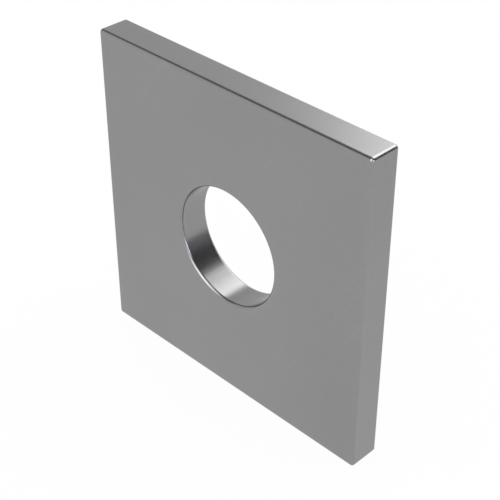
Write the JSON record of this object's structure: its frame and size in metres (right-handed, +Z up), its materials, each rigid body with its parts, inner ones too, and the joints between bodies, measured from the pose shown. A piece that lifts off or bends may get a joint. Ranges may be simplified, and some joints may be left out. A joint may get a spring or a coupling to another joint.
{
  "type": "square plate washer",
  "caption": "Square flat steel washer with a round bolt hole through its middle and lightly rounded edges and corners.",
  "frame": {"origin": "centre of the bolt hole, halfway through the plate's thickness", "axes": "+Y through the plate along the bolt hole's axis, away from the front face; +Z up along one pair of sides and +X along the other, so the plate stands on its lower edge"},
  "size_m": [0.03, 0.003, 0.03],
  "materials": {
    "satin_steel": "satin grey, lightly tumbled"
  },
  "bodies": {
    "root": {"square_washer": "satin_steel"}
  },
  "joints": []
}
